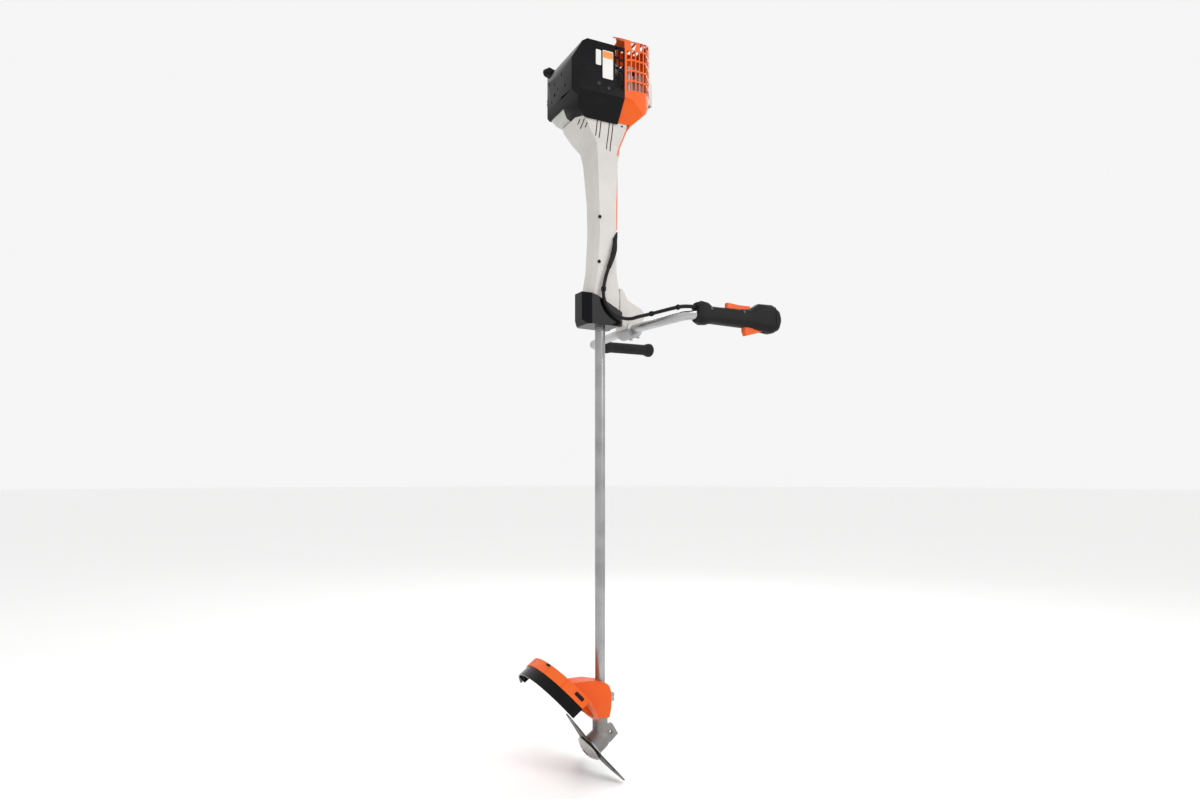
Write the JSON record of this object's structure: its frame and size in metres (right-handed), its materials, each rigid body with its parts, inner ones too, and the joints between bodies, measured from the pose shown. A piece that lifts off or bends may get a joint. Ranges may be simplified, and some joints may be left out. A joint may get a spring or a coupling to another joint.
{
  "type": "two-handled petrol brush cutter",
  "caption": "Petrol engine on a straight drive tube with a two-handed bar, throttle handle, angled gear head, three-tooth knife and deflector, hanging upright.",
  "frame": {"origin": "on the drive tube's axis, at the point where the tube leaves the front collar", "axes": "+Z along the tube towards the engine, +X up when carried (handlebar side), -Y right when carried (throttle hand)"},
  "size_m": [0.5192, 0.557, 1.8211],
  "materials": {
    "tube_alu": "satin drawn tube",
    "steel": "machined",
    "rider_steel": "pressed and polished by use",
    "blade_steel": "dark, worn at its edges",
    "cast_alu": "as cast",
    "head_cast": "painted grey casting",
    "bar_paint": "satin grey",
    "grey_plastic": "fine texture",
    "black_gloss": "glossy moulding",
    "black_plastic": "fine texture",
    "orange_plastic": "satin moulding",
    "tank_plastic": "translucent",
    "cover_plastic": "fine texture",
    "rubber": "soft black",
    "bushing": "plain bearing plastic",
    "felt": "oiled foam",
    "rope": "braided cord"
  },
  "bodies": {
    "frame": {"drive_tube": "tube_alu", "shaft_bushings": "bushing", "clutch_bell": "cast_alu", "crankcase": "cast_alu", "ball_bearings": "steel", "cylinder": "cast_alu", "piston": "cast_alu", "connecting_rod": "steel", "spark_plug": "steel", "plug_boot": "rubber", "ignition_coil": "black_plastic", "muffler": "cast_alu", "carburettor": "cast_alu", "fuel_tank": "tank_plastic", "filter_base": "black_plastic", "air_filter": "felt", "filter_cover": "cover_plastic", "recoil_spring": "steel", "engine_cover": "black_gloss", "starter_cover": "black_gloss", "shroud": "orange_plastic", "housing_right": "grey_plastic", "housing_left": "grey_plastic", "spine": "orange_plastic", "front_collar": "black_plastic", "tube_buffers": "rubber", "bar_support": "grey_plastic", "clamp_cap": "cast_alu", "frame_screws": "steel", "throttle_cable_rear": "rubber", "gear_head": "head_cast", "deflector": "orange_plastic", "deflector_skirt": "black_gloss"},
    "cutter": {"output_shaft": "steel", "thrust_plate": "steel", "blade": "blade_steel", "rider_plate": "rider_steel", "blade_nut": "steel"},
    "drive_line": {"drive_shaft": "steel", "clutch_drum": "steel", "pinion": "steel"},
    "crank": {"crankshaft": "steel", "clutch_shoes": "steel", "flywheel": "cast_alu"},
    "pulley": {"rope_pulley": "black_plastic"},
    "starter_grip": {"starter_grip": "black_plastic", "starter_rope": "rope"},
    "handlebar": {"handlebar": "bar_paint", "left_grip": "rubber", "handle_outer": "black_plastic", "handle_inner": "black_plastic", "handle_fasteners": "steel", "throttle_cable_front": "rubber"},
    "trigger": {"throttle_trigger": "orange_plastic"},
    "lockout": {"lockout_lever": "orange_plastic"},
    "stop_button": {"stop_button": "black_plastic"},
    "throttle_lever": {"throttle_lever": "steel"},
    "tank_cap": {"tank_cap": "black_plastic"},
    "choke_lever": {"choke_lever": "black_plastic"},
    "primer_bulb": {"primer_bulb": "tank_plastic"}
  },
  "joints": [
    {"name": "blade_spin", "type": "hinge", "parent": "frame", "child": "cutter", "pos_m": [0, 0, -1.03], "axis": [-0.7986, 0, -0.6018], "continuous": true},
    {"name": "shaft_spin", "type": "hinge", "parent": "frame", "child": "drive_line", "pos_m": [0, 0, 0], "axis": [0, 0, 1], "continuous": true},
    {"name": "crank_spin", "type": "hinge", "parent": "frame", "child": "crank", "pos_m": [0, 0, 0.585], "axis": [0, 0, 1], "continuous": true},
    {"name": "starter_pull", "type": "slide", "parent": "frame", "child": "starter_grip", "axis": [-0.4003, 0.9164, 0], "range_m": [0, 0.75], "stiffness_N_per_m": 20, "springref_m": -0.25},
    {"name": "pulley_turn", "type": "hinge", "parent": "frame", "child": "pulley", "pos_m": [0, 0, 0.655], "axis": [0, 0, 1], "range_deg": [-1540, 0]},
    {"name": "bar_tilt", "type": "hinge", "parent": "frame", "child": "handlebar", "pos_m": [0.083, 0, -0.007], "axis": [0, 1, 0], "range_deg": [-15, 12]},
    {"name": "trigger_pull", "type": "hinge", "parent": "handlebar", "child": "trigger", "pos_m": [0.3, -0.258, -0.024], "axis": [0, 1, 0], "range_deg": [0, 18], "stiffness_Nm_per_rad": 0.5, "springref_deg": -28.65},
    {"name": "carburettor_turn", "type": "hinge", "parent": "frame", "child": "throttle_lever", "pos_m": [0.0455, 0.064, 0.585], "axis": [1, 0, 0], "range_deg": [0, 72]},
    {"name": "lockout_press", "type": "hinge", "parent": "handlebar", "child": "lockout", "pos_m": [0.259, -0.258, 0.012], "axis": [0, -1, 0], "range_deg": [0, 7], "stiffness_Nm_per_rad": 0.5, "springref_deg": -28.65},
    {"name": "stop_press", "type": "slide", "parent": "handlebar", "child": "stop_button", "axis": [0, -1, 0], "range_m": [0, 0.003], "stiffness_N_per_m": 400, "springref_m": -0.003},
    {"name": "tank_cap_turn", "type": "hinge", "parent": "frame", "child": "tank_cap", "pos_m": [-0.08, 0.092, 0.578], "axis": [0, 1, 0], "range_deg": [0, 90]},
    {"name": "choke_turn", "type": "hinge", "parent": "frame", "child": "choke_lever", "pos_m": [0.059, 0.086, 0.591], "axis": [0, 1, 0], "range_deg": [-20, 40]},
    {"name": "primer_press", "type": "slide", "parent": "frame", "child": "primer_bulb", "axis": [0, -1, 0], "range_m": [0, 0.004], "stiffness_N_per_m": 300, "springref_m": -0.002}
  ],
  "couplings": [
    {"joint": "shaft_spin", "follows": "blade_spin", "ratio": -1.4},
    {"joint": "pulley_turn", "follows": "starter_pull", "rad_per_m": -35.714},
    {"joint": "carburettor_turn", "follows": "trigger_pull", "ratio": 3.8889}
  ]
}
